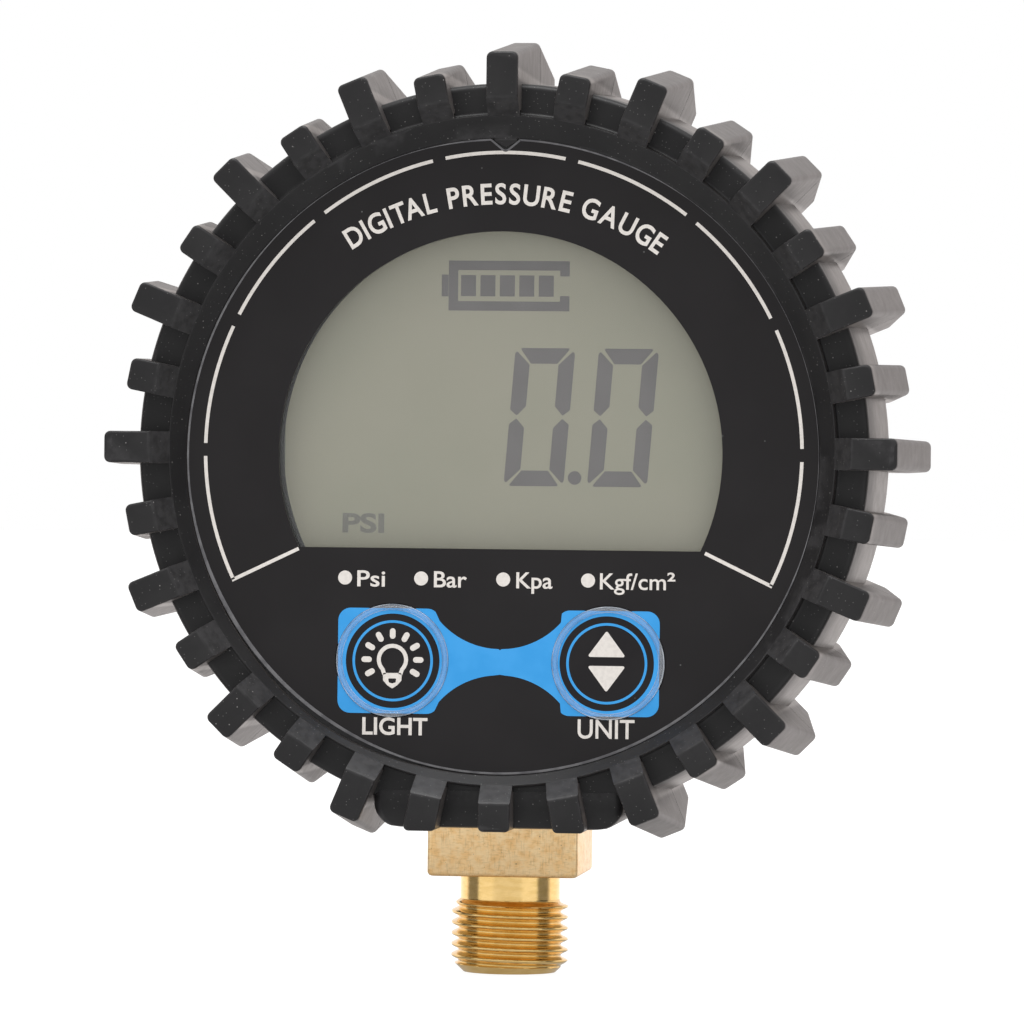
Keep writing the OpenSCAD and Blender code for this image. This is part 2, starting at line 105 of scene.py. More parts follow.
def rounded(points, radii, steps=5):
    """A closed outline with its corners turned into arcs"""
    out = []
    count = len(points)
    if not isinstance(radii, (list, tuple)):
        radii = [radii] * count
    for i, (corner, radius) in enumerate(zip(points, radii)):
        here = Vector(corner)
        before = Vector(points[i - 1]) - here
        after = Vector(points[(i + 1) % count]) - here
        half = before.angle(after) / 2
        if radius <= 0 or abs(half - pi / 2) < 0.01:
            out.append(tuple(here))
            continue
        reach = min(radius / tan(half), before.length * 0.49, after.length * 0.49)
        fit = reach * tan(half)
        bisector = (before.normalized() + after.normalized()).normalized()
        middle = here + bisector * fit / sin(half)
        start = here + before.normalized() * reach - middle
        end = here + after.normalized() * reach - middle
        turn = atan2(start.x * end.y - start.y * end.x, start.dot(end))
        for k in range(steps + 1):
            out.append(tuple(middle + Matrix.Rotation(turn * k / steps, 2) @ start))
    return out


def box_outline(low, high, radius=0, steps=5):
    corners = [(low[0], low[1]), (high[0], low[1]), (high[0], high[1]), (low[0], high[1])]
    return rounded(corners, radius, steps)


def area_of(outline):
    return sum(a[0] * b[1] - b[0] * a[1] for a, b in zip(outline, outline[1:] + outline[:1])) / 2


def inset(outline, distance):
    """The outline moved inwards by one small distance, or by one for each point"""
    sign = 1 if area_of(outline) > 0 else -1
    count = len(outline)
    distances = distance if isinstance(distance, list) else [distance] * count
    out = []
    for i in range(count):
        here = Vector(outline[i])
        one = (here - Vector(outline[i - 1])).normalized()
        two = (Vector(outline[(i + 1) % count]) - here).normalized()
        normal_1 = Vector((-one.y, one.x)) * sign
        normal_2 = Vector((-two.y, two.x)) * sign
        mean = normal_1 + normal_2
        mean = mean.normalized() if mean.length > 1e-6 else normal_1
        out.append(tuple(here + mean * distances[i] / max(0.5, mean.dot(normal_1))))
    return out


# ---- meshes ----
class Shape:
    """Closed shells gathered in millimetres, then turned into one object"""

    def __init__(self):
        self.points = []
        self.faces = []

    def add(self, points, faces):
        base = len(self.points)
        self.points += [tuple(p) for p in points]
        self.faces += [[base + i for i in face] for face in faces]

    def loft(self, rings, wrap=False):
        """Joins rings of equal length, capped at both ends or wrapped round"""
        n = len(rings[0])
        points = [p for ring in rings for p in ring]
        faces = []
        last = len(rings) if wrap else len(rings) - 1
        for i in range(last):
            j = (i + 1) % len(rings)
            for k in range(n):
                m = (k + 1) % n
                faces.append([i * n + k, i * n + m, j * n + m, j * n + k])
        if not wrap:
            faces.append(list(range(n))[::-1])
            faces.append([(len(rings) - 1) * n + k for k in range(n)])
        self.add(points, faces)

    def turn(self, profile, centre=(0, 0), steps=96):
        """Turns a closed [radius, depth] profile round a line along the depth"""
        rings = []
        for a in turns_of(steps):
            x, z = sin(a), cos(a)
            rings.append([(centre[0] + r * x, y, DIAL_Z + centre[1] + r * z) for r, y in profile])
        self.loft(rings, wrap=True)

    def slab(self, outline, front, back, soft=0.0, steps=3):
        """An outline run through a range of depths, with softened edges"""
        levels = [(front, 0), (back, 0)]
        if soft:
            turns = [pi / 2 * k / steps for k in range(steps + 1)]
            curve = [(soft * (1 - cos(a)), soft * (1 - sin(a))) for a in turns]
            levels = [(front + y, d) for y, d in curve] + [(back - y, d) for y, d in curve[::-1]]
        loops = [(y, inset(outline, d) if d else outline) for y, d in levels]
        self.loft([[(x, y, DIAL_Z + z) for x, z in loop] for y, loop in loops])

    def thicken(self, points, faces, front, back):
        """A flat figure closed on all sides"""
        n = len(points)
        edges = dict.fromkeys((a, b) for face in faces for a, b in zip(face, face[1:] + face[:1]))
        walls = [[a, b, b + n, a + n] for a, b in edges if (b, a) not in edges]
        self.add([(x, y, DIAL_Z + z) for y in (front, back) for x, z in points],
                 faces + [[i + n for i in face][::-1] for face in faces] + walls)

    def flat(self, outline, front, back, holes=()):
        """An outline with holes, closed on all sides"""
        loops = [outline, *holes]
        tris = tessellate_polygon([[Vector((x, z, 0)) for x, z in loop] for loop in loops])
        self.thicken([p for loop in loops for p in loop], [list(t) for t in tris], front, back)

    def ink(self, outline, surface, holes=()):
        """A print on a surface that faces the front"""
        self.flat(outline, surface - INK, surface, holes)

    def plain_mesh(self, name):
        mesh = bpy.data.meshes.new(name)
        mesh.from_pydata([[c * MM for c in p] for p in self.points], [], self.faces)
        return mesh

    def build(self, name, look, body, replaces=(), sharp=32):
        mesh = self.plain_mesh(name)
        work = bmesh.new()
        work.from_mesh(mesh)
        bmesh.ops.recalc_face_normals(work, faces=work.faces)
        work.to_mesh(mesh)
        work.free()
        mesh.validate()
        mesh.shade_smooth()
        mesh.set_sharp_from_angle(angle=radians(sharp))
        mesh.materials.append(look.material)
        piece = bpy.data.objects.new(name, mesh)
        link(piece)
        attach(piece, body)
        if replaces:
            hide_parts(*replaces)
        return piece


# ---- materials ----
def srgb(*levels):
    """Linear colour from 0 to 255 screen levels"""
    parts = [v / 255 for v in levels]
    return tuple(v / 12.92 if v <= 10 / 255 else ((v + 0.055) / 1.055) ** 2.4 for v in parts)


class Tree:
    """Adds nodes to the tree of a material or the world"""

    def __init__(self, owner):
        owner.use_nodes = True
        self.nodes = owner.node_tree.nodes
        self.links = owner.node_tree.links

    def split(self, vector):
        node = self.nodes.new("ShaderNodeSeparateXYZ")
        self.links.new(vector, node.inputs["Vector"])
        return node.outputs

    def map(self, value, low, high, to_low=0, to_high=1, kind="LINEAR"):
        node = self.nodes.new("ShaderNodeMapRange")
        node.interpolation_type = kind
        names = ("From Min", "From Max", "To Min", "To Max")
        for socket, number in zip(names, (low, high, to_low, to_high)):
            node.inputs[socket].default_value = number
        self.links.new(value, node.inputs["Value"])
        return node.outputs["Result"]

    def math(self, kind, a, b=0):
        node = self.nodes.new("ShaderNodeMath")
        node.operation = kind
        for socket, item in zip(node.inputs, (a, b)):
            if isinstance(item, (int, float)):
                socket.default_value = item
            else:
                self.links.new(item, socket)
        return node.outputs["Value"]

    def length(self, a, b):
        """How long a vector with these two parts is"""
        squares = self.math("MULTIPLY", a, a), self.math("MULTIPLY", b, b)
        return self.math("SQRT", self.math("ADD", *squares))

    def mix(self, factor, a, b):
        """Blends two colours, each a tuple or a node's output"""
        node = self.nodes.new("ShaderNodeMix")
        node.data_type = "RGBA"
        self.links.new(factor, node.inputs["Factor"])
        for name, item in (("A", a), ("B", b)):
            if isinstance(item, tuple):
                node.inputs[name].default_value = (*item, 1)
            else:
                self.links.new(item, node.inputs[name])
        return node.outputs["Result"]


class Look(Tree):
    """A material whose colour, roughness and bump come from noise in object space, in mm"""

    def __init__(self, name, colour, rough, spec=0.5, **fixed):
        self.material = bpy.data.materials.new(name)
        super().__init__(self.material)
        self.inputs = self.nodes["Principled BSDF"].inputs
        self.inputs["Base Color"].default_value = (*colour, 1)
        self.inputs["Roughness"].default_value = rough
        self.inputs["Specular IOR Level"].default_value = spec
        for socket, value in fixed.items():
            self.inputs[socket.replace("_", " ")].default_value = value
        self.colour = colour
        self.rough = rough
        self.normal_out = None
        self.smoother = None
        place = self.nodes.new("ShaderNodeTexCoord")
        scale = self.nodes.new("ShaderNodeVectorMath")
        scale.operation = "SCALE"
        scale.inputs["Scale"].default_value = 1 / MM
        self.links.new(place.outputs["Object"], scale.inputs[0])
        self.place = scale.outputs["Vector"]

    def stretched(self, stretch):
        node = self.nodes.new("ShaderNodeVectorMath")
        node.operation = "MULTIPLY"
        node.inputs[1].default_value = stretch
        self.links.new(self.place, node.inputs[0])
        return node.outputs["Vector"]

    def noise(self, per_mm, detail=3.0, stretch=None):
        node = self.nodes.new("ShaderNodeTexNoise")
        node.inputs["Scale"].default_value = per_mm
        node.inputs["Detail"].default_value = detail
        self.links.new(self.stretched(stretch) if stretch else self.place, node.inputs["Vector"])
        return node.outputs["Fac"]

    def tint(self, mask, colour):
        """Mixes another colour in where the mask is high"""
        self.colour = self.mix(mask, self.colour, colour)
        self.links.new(self.colour, self.inputs["Base Color"])
        return self

    def mottle(self, per_mm, colour, low=0.42, high=0.62, amount=1.0, stretch=None):
        return self.tint(self.map(self.noise(per_mm, 4, stretch), low, high, 0, amount), colour)

    # Edges lighter in patches: wear on the case plastic, a painted highlight on the boot's and the
    # shank's edges
    def edge_wear_and_highlight(self, colour, amount=0.6, low=0.52, high=0.6):
        edge = self.nodes.new("ShaderNodeNewGeometry").outputs["Pointiness"]
        mask = self.map(edge, low, high, 0, amount)
        patches = self.map(self.noise(1.5), 0.35, 0.6, 0.3)
        return self.tint(self.math("MULTIPLY", mask, patches), colour)

    def release_marks_and_painted_sheen(self, colour, amount, inside, outside, smoother):
        """Bloom left by the mould, together with a painted sheen: the walls that run along the
        depth between two radii are made lighter, standing in for their grazing reflection
        """
        facing = self.split(self.nodes.new("ShaderNodeTexCoord").outputs["Normal"])
        walls = self.map(self.math("ABSOLUTE", facing["Y"]), 0.45, 0.2, 0, amount)
        where = self.split(self.place)
        reach = self.length(self.math("SUBTRACT", where["Z"], DIAL_Z), where["X"])
        zone = self.math("MULTIPLY", self.map(reach, inside, inside + 0.3),
                         self.map(reach, outside, outside + 0.3, 1, 0))
        streaks = self.map(self.noise(0.7, 5, (1, 0.14, 1)), 0.3, 0.7, 0.75)
        bloom_and_sheen = self.math("MULTIPLY", walls, zone)
        smooth = self.math("MULTIPLY", bloom_and_sheen, smoother)
        self.smoother = smooth if self.smoother is None else self.math("ADD", smooth, self.smoother)
        return self.tint(self.math("MULTIPLY", bloom_and_sheen, streaks), colour)

    def dust(self, per_mm, colour, size=0.09, share=0.9):
        """Small round specks in a few of the cells of a grid"""
        node = self.nodes.new("ShaderNodeTexVoronoi")
        node.inputs["Scale"].default_value = per_mm
        self.links.new(self.place, node.inputs["Vector"])
        spot = self.map(node.outputs["Distance"], size, size * 0.5)
        pick = self.nodes.new("ShaderNodeSeparateColor")
        self.links.new(node.outputs["Color"], pick.inputs["Color"])
        chosen = self.math("GREATER_THAN", pick.outputs["Red"], share)
        return self.tint(self.math("MULTIPLY", spot, chosen), colour)

    def rougher(self, per_mm, spread, stretch=None):
        grain = self.noise(per_mm, 3, stretch)
        value = self.map(grain, 0.3, 0.7, self.rough - spread, self.rough + spread)
        if self.smoother is not None:
            value = self.math("SUBTRACT", value, self.smoother)
        self.links.new(value, self.inputs["Roughness"])
        return self

    def bump(self, per_mm, depth_mm, detail=3.0, stretch=None):
        node = self.nodes.new("ShaderNodeBump")
        node.inputs["Strength"].default_value = 1.0
        node.inputs["Distance"].default_value = depth_mm * MM
        self.links.new(self.noise(per_mm, detail, stretch), node.inputs["Height"])
        if self.normal_out is not None:
            self.links.new(self.normal_out, node.inputs["Normal"])
        self.normal_out = node.outputs["Normal"]
        self.links.new(self.normal_out, self.inputs["Normal"])
        return self


def moulded(name, colour, rough=0.5, grain=6, depth=0.012, cloud=0.7):
    """Moulded plastic or rubber with a fine grain"""
    lighter = tuple(min(1, c * 1.35 + 0.004) for c in colour)
    look = Look(name, colour, rough)
    return look.mottle(0.35, lighter, amount=cloud).rougher(1.2, 0.07).bump(grain, depth)


def metal(name, colour, rough, stretch=(1, 1, 1)):
    """Bright metal that is not brass; stretch draws its grain out along an axis"""
    darker = tuple(c * 0.72 for c in colour)
    look = Look(name, colour, rough, Metallic=1.0)
    look.mottle(0.8, darker, amount=0.5, stretch=stretch)
    return look.rougher(3, 0.08, stretch).bump(5, 0.006, stretch=stretch)


WALL_END = 31.1  # radius at which the outer wall has ended and only lugs remain
boot_rubber = Look("boot_rubber_look", (0.011, 0.0105, 0.0112), 0.42, spec=0.3,
                   Sheen_Weight=0.06, Sheen_Roughness=0.4, Sheen_Tint=(1, 0.86, 0.8, 1))
boot_rubber.mottle(0.22, (0.0165, 0.0158, 0.0164), amount=0.8)
# first the boot's outer wall, then the lugs' side walls: mould bloom together with a painted sheen,
# lighter where the walls face sideways
boot_rubber.release_marks_and_painted_sheen((0.1, 0.082, 0.07), 0.6, 30.2, WALL_END, 0.16)
boot_rubber.release_marks_and_painted_sheen((0.07, 0.066, 0.065), 0.5, WALL_END, 40, 0.03)
# painted highlight: the boot's edges lighter in patches
boot_rubber.edge_wear_and_highlight((0.055, 0.053, 0.055), 0.5)
boot_rubber.dust(1.7, (0.22, 0.21, 0.205), 0.11, 0.8)
boot_rubber.dust(3.4, (0.11, 0.107, 0.105), 0.17, 0.62)
boot_rubber.rougher(0.8, 0.03).bump(6, 0.005, 2).bump(3, 0.003).bump(0.6, 0.008)

case_plastic = moulded("case_plastic_look", (0.015, 0.015, 0.0165), 0.48, 4, 0.03, 0.25)
case_plastic.dust(0.8, (0.2, 0.2, 0.2), 0.06, 0.93).edge_wear_and_highlight((0.05, 0.05, 0.052), 0.6)

film_look = Look("printed_film_look", srgb(33, 31, 32), 0.34, spec=0.17)
film_look.mottle(0.12, srgb(37, 35, 36), amount=0.6).dust(0.6, (0.12, 0.12, 0.12), 0.05, 0.8)
film_look.rougher(1, 0.04).bump(2.5, 0.0008, 1)

white_ink = Look("white_ink_look", srgb(229, 223, 217), 0.5, spec=0.3)
white_ink.mottle(3, srgb(217, 211, 205), amount=0.7).rougher(2, 0.05).bump(3, 0.0008, 1)
blue_ink = Look("blue_ink_look", srgb(56, 156, 226), 0.5, spec=0.25)
blue_ink.mottle(0.4, srgb(66, 163, 232), amount=0.8).rougher(2, 0.05).bump(3, 0.0008, 1)
black_ink = Look("black_ink_look", srgb(31, 29, 31), 0.36, spec=0.17)
black_ink.mottle(0.3, srgb(36, 34, 35), amount=0.6).dust(0.8, (0.12, 0.12, 0.12), 0.05, 0.85)
black_ink.rougher(1, 0.04).bump(2.5, 0.0008, 1)
# painted highlight along the film's cut edge
film_edge_highlight_look = Look("film_edge_highlight_look", srgb(118, 117, 119), 0.4, spec=0.3)
film_edge_highlight_look.mottle(0.8, srgb(88, 87, 90), amount=0.9).rougher(3, 0.06).bump(4, 0.002)

window_look = Look("clear_window_look", (0.95, 0.97, 0.96), 0.12, Alpha=0.04)
window_look.mottle(0.3, (0.9, 0.92, 0.91), amount=0.5).rougher(0.5, 0.03).bump(0.2, 0.0005, 1)
# clear raised ring; its milky, pale tone is a painted highlight
ridge_look = Look("raised_ring_look", (0.7, 0.74, 0.8), 0.14, Alpha=0.2)
ridge_look.mottle(0.9, (0.5, 0.56, 0.66), amount=0.6).rougher(2, 0.06).bump(1, 0.002)
# painted highlight: the ring's rims are milky light grey, standing in for the light lines along its
# edges
rim_highlight_look = Look("raised_ring_rim_highlight_look", (0.8, 0.84, 0.9), 0.14, Alpha=0.4)
rim_highlight_look.mottle(0.5, (0.3, 0.34, 0.4), 0.38, 0.6, 0.9).rougher(2, 0.06).bump(1, 0.002)

# painted light: the display film glows faintly in its own grey-green, though it is no lamp
display_look = Look("display_film_look", srgb(126, 124, 109), 0.45, spec=0.2,
                    Emission_Color=(*srgb(150, 147, 132), 1), Emission_Strength=0.2)
display_look.mottle(0.06, srgb(120, 120, 104), amount=0.8)
display_look.dust(0.35, srgb(190, 191, 181), 0.03, 0.86)
display_look.rougher(0.5, 0.03).bump(0.3, 0.0005, 1)
segment_look = Look("display_segment_look", srgb(97, 94, 94), 0.45, spec=0.2)
segment_look.mottle(0.4, srgb(92, 89, 89), amount=0.8).rougher(1, 0.04).bump(0.5, 0.0005, 1)
word_look = Look("display_word_look", srgb(112, 111, 104), 0.45, spec=0.2)
word_look.mottle(0.4, srgb(106, 105, 98), amount=0.8).rougher(1, 0.04).bump(0.5, 0.0005, 1)

shank_brass = Look("milled_brass_look", (0.92, 0.58, 0.25), 0.36, Metallic=1.0)
shank_brass.mottle(0.5, (0.82, 0.48, 0.18), amount=0.8)
shank_brass.mottle(2.4, (0.97, 0.68, 0.34), 0.48, 0.75, 0.6, stretch=(0.4, 0.4, 3))
shank_brass.mottle(3.5, (0.55, 0.31, 0.1), 0.5, 0.72, 0.75, stretch=(0.6, 0.6, 2.2))
shank_brass.mottle(4, (0.42, 0.23, 0.07), 0.54, 0.72, 0.6, stretch=(2.5, 2.5, 0.3))
shank_brass.dust(1.6, (0.1, 0.055, 0.025), 0.11, 0.8)
shank_brass.dust(3.4, (0.12, 0.07, 0.03), 0.14, 0.86)
# painted highlight: pale bright brass along the shank's edges
shank_brass.edge_wear_and_highlight((1.0, 0.84, 0.55), 0.8, 0.535, 0.6)
shank_brass.rougher(2.5, 0.08).bump(5, 0.008, stretch=(0.5, 0.5, 2)).bump(1.6, 0.008)
turned_brass = Look("turned_brass_look", (0.86, 0.6, 0.25), 0.12, Metallic=1.0)
turned_brass.mottle(0.9, (0.74, 0.49, 0.17), amount=0.6, stretch=(1, 1, 3))
turned_brass.dust(2.2, (0.3, 0.17, 0.05), 0.07, 0.95)
turned_brass.rougher(3, 0.05, (1, 1, 4)).bump(5, 0.004, stretch=(1, 1, 5))

jacket = Look("battery_jacket_look", (0.05, 0.2, 0.14), 0.25, Coat_Weight=0.5)
# the cells lie along x: a pale band starts at one place and a dark one at the next
for band_start, band_colour in ((10.2, (0.62, 0.62, 0.6)), (12.1, (0.035, 0.035, 0.037))):
    across = jacket.map(jacket.split(jacket.place)["X"], band_start, band_start + 0.05)
    jacket.tint(across, band_colour)
jacket.mottle(1.5, (0.1, 0.26, 0.2), amount=0.15)
jacket.rougher(2, 0.05).bump(1.2, 0.01)
board_look = Look("board_look", (0.012, 0.09, 0.035), 0.3, Coat_Weight=0.3)
board_look.mottle(0.9, (0.02, 0.14, 0.06), 0.48, 0.52, 0.9, stretch=(1, 1, 3))
board_look.rougher(2, 0.06).bump(3, 0.01)
zebra_look = Look("zebra_look", (0.5, 0.2, 0.24), 0.5)
zebra_look.mottle(9, (0.08, 0.06, 0.07), 0.48, 0.52, stretch=(1, 0.001, 0.001))
zebra_look.rougher(2, 0.05).bump(6, 0.005)
glass_look = Look("display_glass_look", (0.78, 0.84, 0.8), 0.08, Alpha=0.3)
glass_look.mottle(0.3, (0.7, 0.78, 0.74), amount=0.5).rougher(1, 0.03).bump(1, 0.001)

LOOKS = {
    "boot_rubber": boot_rubber,
    "case_plastic": case_plastic,
    "printed_film": film_look,
    "clear_window": window_look,
    "button_film": black_ink,
    "switch_plastic": moulded("switch_look", (0.02, 0.02, 0.02), 0.4, 8, 0.008),
    "foam": moulded("foam_look", (0.02, 0.02, 0.022), 0.8, 5, 0.05),
    "polarizer_film": display_look,
    "display_glass": glass_look,
    "reflector_film": display_look,
    "light_guide": moulded("light_guide_look", (0.8, 0.82, 0.8), 0.3, 3, 0.004),
    "led_resin": moulded("led_look", (0.8, 0.72, 0.3), 0.2, 3, 0.004),
    "frame_plastic": moulded("display_frame_look", (0.72, 0.72, 0.7), 0.5),
    "zebra_rubber": zebra_look,
    "board_laminate": board_look,
    "chip_resin": moulded("chip_look", (0.015, 0.015, 0.017), 0.4, 8, 0.01),
    "component_ceramic": moulded("ceramic_look", (0.4, 0.27, 0.15), 0.45, 8, 0.01),
    "steel": metal("steel_look", (0.6, 0.6, 0.62), 0.3),
    "tinned_copper": metal("tinned_look", (0.75, 0.75, 0.74), 0.25),
    "seal_rubber": moulded("seal_look", (0.015, 0.015, 0.015), 0.4, 8, 0.006),
    "brass": turned_brass,
    "gasket_rubber": moulded("gasket_look", (0.5, 0.06, 0.04), 0.45, 6, 0.008),
    "battery_jacket": jacket,
    "contact_steel": metal("contact_look", (0.7, 0.69, 0.66), 0.22, (1, 0.2, 1)),
}


def dress_cad_nodes():
    """Gives every CAD node the look of its slot in the record"""
    slots = {part["node"]: part["material_slot"] for part in frame["record"]["subparts"]}
    for name, node in frame["nodes"].items():
        slot = slots.get(name, "case_plastic")
        node.data.materials.clear()
        node.data.materials.append(LOOKS[slot].material)


dress_cad_nodes()

# ---- rubber boot ----
LUGS = 32
LUG_HALF_W = 1.3
LUG_FACE_R = 32.5
LUG_CREST_R = 34.5
SHORTER = 1.4  # how much less every second lug reaches out
LUG_ROOTS = (27.9, 29)  # radii at which lugs start inside the wall, before and behind the crest
WALL_R = 31
BACK_HOLE_R = 26.3
BEVEL_TOP_R = 28.8
RIDGE_R = 27.35
LIP_R = FILM_R + 0.03
BEVEL_SLOPE = (BEVEL_TOP_R - LIP_R) / (FILM - FRONT)
RIDGE_Y = FRONT + (BEVEL_TOP_R - RIDGE_R) / BEVEL_SLOPE
POCKET_Y = FRONT + 3
TRIM_LEVEL = -31.1
# the film and the boot's opening sit a little low of the lugs
FILM_PLACE = Vector((-0.08, -0.47))
LIP_PLACE = Vector((-0.09, -0.49))
FOOT_HALF_W = 10.3
FOOT_DROP = 30.95
FOOT_BACK = 13.5
SHANK_HALF = (brass_high.y - brass_low.y) / 2


def lug_tip(depth):
    """Radius of a long lug at a depth: it swells to the crest and shrinks again"""
    if depth <= CREST:
        return LUG_FACE_R + (LUG_CREST_R - LUG_FACE_R) * (depth - FRONT) / (CREST - FRONT)
    return LUG_CREST_R + (LUG_FACE_R + 0.1 - LUG_CREST_R) * (depth - CREST) / (BACK - CREST)


def lug_section(angle, inner, tip, half, level, corner):
    """One cross-section of a lug; level is the height of a flat trimmed end, or None"""
    out, side = spoke(angle)
    ends = [(t, tip if level is None else (level - t * side.y) / out.y) for t in (half, -half)]
    outline = rounded([(-half, inner), (half, inner), ends[0], ends[1]], [0, 0, corner, corner], 5)
    return [out * r + side * t for t, r in outline]


def add_lug(shape, index):
    angle = 2 * pi * index / LUGS
    trimmed = abs(index - LUGS / 2) <= 1
    shorter = SHORTER if index % 2 else 0
    edge = 0.2
    turns = [pi / 6 * k for k in range(4)]
    # depths, each with how far the section is pulled in there: the parting line at the crest
    # is a fine groove, and both ends are softened
    stations = [(FRONT + edge * (1 - cos(a)), edge * (1 - sin(a))) for a in turns]
    stations += [(y, 0) for y in (FRONT + 0.8, RIDGE_Y, RIDGE_Y + 0.3, CREST - 0.3, CREST - 0.07)]
    stations += [(CREST, 0.14), (CREST + 0.07, 0), (CREST + 0.3, 0)]
    stations += [(BACK - 0.7, 0), (BACK - 0.25, 0), (BACK - 0.1, 0.1), (BACK - 0.02, 0.25)]
    rings = []
    for depth, pull in stations:
        inner = BEVEL_TOP_R - BEVEL_SLOPE * (depth - FRONT) + pull
        if depth > RIDGE_Y:
            inner = LUG_ROOTS[depth >= CREST]
        level = TRIM_LEVEL + pull if trimmed else None
        corner = 0.4 if trimmed else 0.5
        tip = lug_tip(depth) - shorter - pull
        section = lug_section(angle, inner, tip, LUG_HALF_W - pull, level, corner)
        rings.append([(p.x, depth, DIAL_Z + p.y) for p in section])
    shape.loft(rings)


def add_foot(shape):
    """Rubber block round the square shank, with the shank's opening through it"""
    front = POCKET_Y - 0.03
    middle_y = (front + FOOT_BACK) / 2
    half_y = (FOOT_BACK - front) / 2
    corner = 2.0
    levels = [(-FOOT_DROP, corner, 0.3), (-FOOT_DROP + 0.06, corner - 0.35, 0.1)]
    levels += [
        (-FOOT_DROP + corner * (1 - cos(a)), corner * (1 - sin(a)), 0)
        for a in [radians(d) for d in range(18, 91, 9)]
    ]
    levels.append((-LUG_ROOTS[0], 0, 0))
    outer, inner = [], []
    for level, narrow, pull in levels:
        half_x = FOOT_HALF_W - narrow
        hy = half_y - pull
        ring = box_outline((-half_x, -hy), (half_x, hy), 0.7)
        hole = SHANK_HALF + 0.08 + (0.2 if pull > 0.2 else 0)
        gap = box_outline((-hole, -hole), (hole, hole), 0.35)
        outer.append([(x, middle_y + y, DIAL_Z + level) for x, y in ring])
        inner.append([(x, y, DIAL_Z + level) for x, y in gap])
    shape.loft(outer + inner[::-1], wrap=True)


def lip_shift(angle):
    """How far the opening's edge is from a true circle: it sits low, and gapes at lower left"""
    gape = 0.34 * exp(-((degrees(angle) - 213) / 17) ** 2)
    return LIP_PLACE + spoke(angle)[0] * gape


def make_boot():
    shape = Shape()
    inner_r = CASE_R + 0.1
    rim_y = BACK - 0.75
    profile = [
        (LIP_R, FILM + 0.3), (LIP_R, FILM), (LIP_R + 0.16, FILM - 0.16 / BEVEL_SLOPE),
        (RIDGE_R - 0.14, RIDGE_Y + 0.14 / BEVEL_SLOPE), (RIDGE_R, RIDGE_Y),
        (RIDGE_R + 0.08, RIDGE_Y), (RIDGE_R + 0.2, POCKET_Y), (WALL_R - 0.9, POCKET_Y),
        (WALL_R - 0.01, CREST - 0.07), (WALL_R - 0.13, CREST), (WALL_R - 0.01, CREST + 0.07),
        (WALL_R - 1, BACK), (BACK_HOLE_R, BACK), (BACK_HOLE_R, rim_y), (inner_r, rim_y),
        (inner_r, FILM + 0.3),
    ]
    radii = [0, 0.06, 0, 0, 0.06, 0.04, 0.3, 0.55, 0, 0, 0, 0.5, 0.2, 0, 0, 0]
    profile = rounded(profile, radii, 6)
    rings = []
    for a in turns_of(256):
        out = spoke(a)[0]
        ring = []
        for r, y in profile:
            share = max(0, min(1, (RIDGE_R - r) / (RIDGE_R - LIP_R))) if y < FILM + 0.35 else 0
            shift = lip_shift(a) * share
            place = out * r + shift
            # an edge that moves outwards also comes forwards, so that it stays on the bevel
            raised = max(0, shift.dot(out)) / BEVEL_SLOPE if y < FILM + 0.1 else 0
            ring.append((place.x, y - raised, DIAL_Z + place.y))
        rings.append(ring)
    shape.loft(rings, wrap=True)
    for index in range(LUGS):
        add_lug(shape, index)
    add_foot(shape)
    # pointed tab that keys the film, sunk a little below it
    tab = [(-0.95, 25.9), (-0.95, 25.4), (0, 24.88), (0.95, 25.4), (0.95, 25.9)]
    shape.slab(rounded(tab, 0.12, 3), FILM + 0.05, FILM + 0.29, 0.05)
    shape.build("tread_boot", boot_rubber, "gauge", ["rubber_boot"], sharp=38)


make_boot()

# ---- printed dial ----
PRINT_PLACE = (0, -0.13)
ARC_R = 24.6
ARC_W = 0.285
ARC_STEP = 360 / 14
ARC_GAP = 2.5
TITLE_R = 21.97
TITLE_PLACE = (-0.21, -1.76)
TITLE_CAP = 1.72
# unit names: place of the dot, left edge, width and weight of the word
UNIT_BASE = -11.25
UNIT_CAP = 1.32
UNITS = {"Psi": (-12.88, -11.87, 2.31, 0.012), "Bar": (-6.58, -5.52, 2.72, 0.012),
         "Kpa": (0.2, 1.28, 2.98, 0.012), "Kgf/cm": (7.19, 8.17, 5.42, 0.008)}
RETURN_R = 18.6


def band(inner, outer, start, end, steps=24):
    """Part of a ring; angles in degrees clockwise from the top"""
    near = arc(PRINT_PLACE, inner, 90 - start, 90 - end, steps)
    far = arc(PRINT_PLACE, outer, 90 - end, 90 - start, steps)
    return near + far


def text_mesh(word, weight):
    """A word in the built-in font as points and faces, from its left edge and baseline"""
    curve = bpy.data.curves.new("word", "FONT")
    curve.body = word
    curve.size = 1
    curve.offset = weight
    curve.resolution_u = 5
    thing = bpy.data.objects.new("word", curve)
    link(thing)
    bpy.context.view_layer.update()
    mesh = thing.to_mesh()
    points = [(v.co.x, v.co.y) for v in mesh.vertices]
    faces = [list(p.vertices) for p in mesh.polygons]
    thing.to_mesh_clear()
    bpy.data.objects.remove(thing)
    bpy.data.curves.remove(curve)
    return points, faces


CAP = max(p[1] for p in text_mesh("H", 0)[0])


def span(points):
    return min(p[0] for p in points), max(p[0] for p in points)


def add_word(shape, word, left, base, cap_height, width, weight, front=FILM):
    """Draws a word as a thin print, scaled to its cap height and width"""
    points, faces = text_mesh(word, weight)
    low, high = span(points)
    tall = cap_height / (CAP + 2 * weight)
    wide = width / (high - low)
    place = [(left + (x - low) * wide, base + (y + weight) * tall) for x, y in points]
    shape.thicken(place, faces, front - INK, front)


